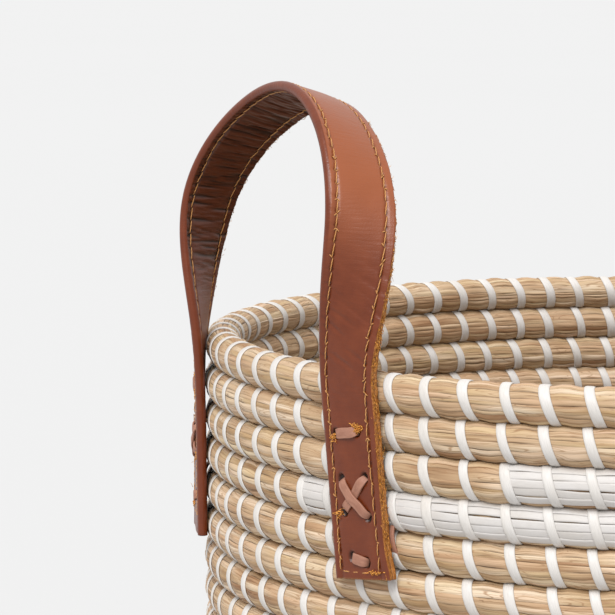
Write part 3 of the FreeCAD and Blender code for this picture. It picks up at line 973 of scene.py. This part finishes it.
def strap_thread(strap):
    """The waxed thread of one handle, one short tube a stitch, its ends sunk in the leather."""
    thick = STRAP_THICKNESS / 2
    steps = 9
    share = np.linspace(0, 1, steps)
    radius = THREAD_RADIUS * (0.65 + 0.35 * np.sin(math.pi * share))
    arched = np.sin(math.pi * share) ** 0.3
    stitches = []
    for number, (u0, s0, u1, s1, side) in enumerate(seam_plan(strap)):
        u = u0 + (u1 - u0) * share
        s = s0 + (s1 - s0) * share
        n = side * (thick - GROOVE_DEPTH + (0.60 if side > 0 else 0.24) * arched)
        place, face = strap.at(u, s, n)
        stitches.append(tube(rings_round(place, face, radius, 6), STITCH_LENGTH / steps, 0.4,
                             (number * 0.37, number * 0.11)))
    name = f"{strap.side}_strap_thread"
    made = piece(name, joined(name, stitches), thread, None)
    strap.ride(made)


THONG_PROFILE = np.array([(-1, 0.1), (-1, 0.72), (-0.95, 0.95), (-0.84, 1.0), (0.84, 1.0), (0.95, 0.95),
                          (1, 0.72), (1, 0.1), (0.8, 0.0), (-0.8, 0.0)])
THONG_THICKNESS = 0.9


def thong_strip(strap, leg, stations, width):
    """A flat thong through stations on a leg, its ends drawn in where they go through the leather."""
    stations = np.array(stations)
    marks = distance_along(stations)
    steps = 40
    at = np.linspace(0, marks[-1], steps)
    line = natural_spline(marks, stations, at)
    u = strap.along_leg(leg, line[:, 1])
    place, face = strap.at(u, line[:, 0], STRAP_THICKNESS / 2 + line[:, 2])
    ahead = unit(np.gradient(place, axis=0))
    across = unit(np.cross(ahead, face))
    lift = np.cross(across, ahead)
    taper = 0.80 + 0.20 * smooth(np.minimum(at, marks[-1] - at) / 3.5)
    section = ribbon(place, lift, across, width * taper, THONG_THICKNESS, THONG_PROFILE)
    return tube(section, marks[-1] / steps, width / 4, strap.rng.uniform(0, 3, 2))


def leg_laces(strap, leg):
    """The thongs of one leg: top and bottom stitches, the crossed pair, and the tail beside the leg."""
    prefix = f"{strap.side}_{leg}"
    parts = {name: thong_strip(strap, leg, stations, width) for name, stations, width in lacing_plan()}
    tail = [(-12.6, 61.0, -9.0), (-13.0, 63.6, -6.6), (-13.4, 69.0, -5.4), (-13.8, 74.0, -6.6),
            (-13.8, 76.6, -9.0)]
    parts["tail"] = thong_strip(strap, leg, tail, 4.6)
    groups = {"top": ["top"], "cross": ["under", "over"], "bottom": ["bottom", "tail"]}
    for group, members in groups.items():
        name = f"{prefix}_{group}_thong"
        made = piece(name, joined(name, [parts[member] for member in members]), thong, "basket")
        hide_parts(f"{prefix}_{group}_lace")


def fibre_plan(strap):
    """Loose fibres of the raw leather, as (u, s, n) starts and ends: along the edge and at the laces."""
    rng = strap.rng
    plan = []
    edge = -STRAP_WIDTH / 2
    for _ in range(FIBRES):
        u = rng.uniform(1, strap.length - 1)
        n = rng.normal(0, 1.1)
        run = rng.normal(0, 1.5)
        out = rng.uniform(0.1, 0.9) * (1.0 if rng.random() < 0.85 else 1.6)
        plan.append(((u, edge + 0.1, n), (u + run, edge - out, n + rng.normal(0, 0.5))))
    weights = [1.0] * len(plan)
    tufts = [(-4.6, 23.2, 1.3, 0.8, 130), (8.0, 26.6, 0.9, 0.8, 30), (7.6, 57.4, 0.8, 0.8, 28),
             (-8.6, 81.0, 2.2, 0.25, 40)]
    for leg in ("front", "back"):
        for s, drop, spread, height, count in tufts:
            u = float(strap.along_leg(leg, drop))
            for _ in range(count):
                start = (u + rng.normal(0, height), s + rng.normal(0, spread), STRAP_THICKNESS / 2 - 0.1)
                rise = rng.uniform(0.2, 1.2)
                end = (start[0] + rng.normal(0, 0.6), start[1] + rng.normal(0, 1.0), start[2] + rise)
                plan.append((start, end))
                weights.append(2.3)
    return np.array(plan), np.array(weights)


def strap_fray(strap):
    """The loose golden fibres of one handle, each a thin tapered hair that curls over."""
    plan, weights = fibre_plan(strap)
    share = np.linspace(0, 1, 4)[None, :]
    start, end = plan[:, 0, :, None], plan[:, 1, :, None]
    u, s, n = ((start[:, axis] + (end[:, axis] - start[:, axis]) * share) for axis in range(3))
    curl = strap.rng.normal(0, 0.45, (len(plan), 1)) / weights[:, None] ** 1.5 * np.sin(math.pi * share)
    place, _ = strap.at(u + curl, s, n)
    radius = strap.rng.uniform(0.10, 0.18, (len(plan), 1)) * weights[:, None] * (1 - 0.6 * share)
    hairs = rings_round(place, (0.31, 0.52, 0.80), radius, 3)
    shifts = strap.rng.uniform(0, 2, (len(plan), 2))
    name = f"{strap.side}_strap_fray"
    mesh = joined(name, [tube(rings, 0.6, 0.2, shift) for rings, shift in zip(hairs, shifts)])
    made = piece(name, mesh, fray, None)
    strap.ride(made)


def build_handles():
    for side in ("left", "right"):
        strap = Strap(side)
        strap_leather(strap)
        strap_thread(strap)
        strap_fray(strap)
        for leg in ("front", "back"):
            leg_laces(strap, leg)


build_handles()

# ---- camera, light and floor

# The eye stands off between the front and the left handle, and looks a little left of the axis.
EYE_DISTANCE = 1307.6
EYE_AZIMUTH = math.radians(237.06)
EYE_ABOVE_RIM = 160.0
LOOK_TURN = EYE_AZIMUTH - 3 * math.pi / 2 + 0.12774
LOOK_DOWN = 0.11692
LENS = 167.17


def set_camera():
    camera = bpy.data.cameras.new("camera")
    camera.lens = LENS
    camera.sensor_width = 36.0
    camera.clip_end = 100.0
    eye = new_object("camera", camera)
    eye.location = Vector((EYE_DISTANCE * math.cos(EYE_AZIMUTH), EYE_DISTANCE * math.sin(EYE_AZIMUTH),
                           RIM_TOP + EYE_ABOVE_RIM)) * MM
    eye.rotation_euler = (math.pi / 2 - LOOK_DOWN, 0, LOOK_TURN)
    bpy.context.scene.camera = eye


# the floor's lit shade and the sky's are one, so that no horizon shows
BACKGROUND = 0.887
SUN_STRENGTH = 2.8
SUN_TILT = math.radians(34)
SUN_HEADING = math.radians(-45)
SUN_WIDTH = math.radians(32)


def set_light():
    world = bpy.data.worlds.new("studio")
    world.use_nodes = True
    backdrop = world.node_tree.nodes["Background"]
    backdrop.inputs["Color"].default_value = (*grey(BACKGROUND), 1)
    backdrop.inputs["Strength"].default_value = 1.0
    bpy.context.scene.world = world
    sun = bpy.data.lights.new("window", "SUN")
    sun.energy = SUN_STRENGTH
    sun.angle = SUN_WIDTH
    lamp = new_object("window", sun)
    lamp.rotation_euler = (SUN_TILT, 0, SUN_HEADING)
    bpy.context.scene.view_settings.view_transform = "Standard"


FLOOR_RADIUS = 90000.0
FLOOR_GAP = 0.02


def set_floor():
    """A pale round floor that reaches past the top of the picture, so it is the backdrop as well."""
    sides = 96
    angles = [TAU * number / sides for number in range(sides)]
    points = [(0.0, 0.0, -FLOOR_GAP)]
    points += [(FLOOR_RADIUS * math.cos(angle), FLOOR_RADIUS * math.sin(angle), -FLOOR_GAP)
               for angle in angles]
    faces = [(0, 1 + number, 1 + (number + 1) % sides) for number in range(sides)]
    mesh = bpy.data.meshes.new("floor")
    mesh.from_pydata([tuple(x * MM for x in point) for point in points], [], faces)
    look = Surface("floor")
    shade = BACKGROUND / (BACKGROUND + SUN_STRENGTH * math.cos(SUN_TILT) / math.pi)
    speckle = look.add("ShaderNodeTexNoise", Scale=40.0, Detail=3.0)
    tint = look.ramp(speckle.outputs["Fac"], (0.3, grey(shade * 0.995)), (0.7, grey(shade)))
    mesh.materials.append(look.finish(tint, 1.0, 0.0))
    new_object("floor", mesh)


set_camera()
set_light()
set_floor()
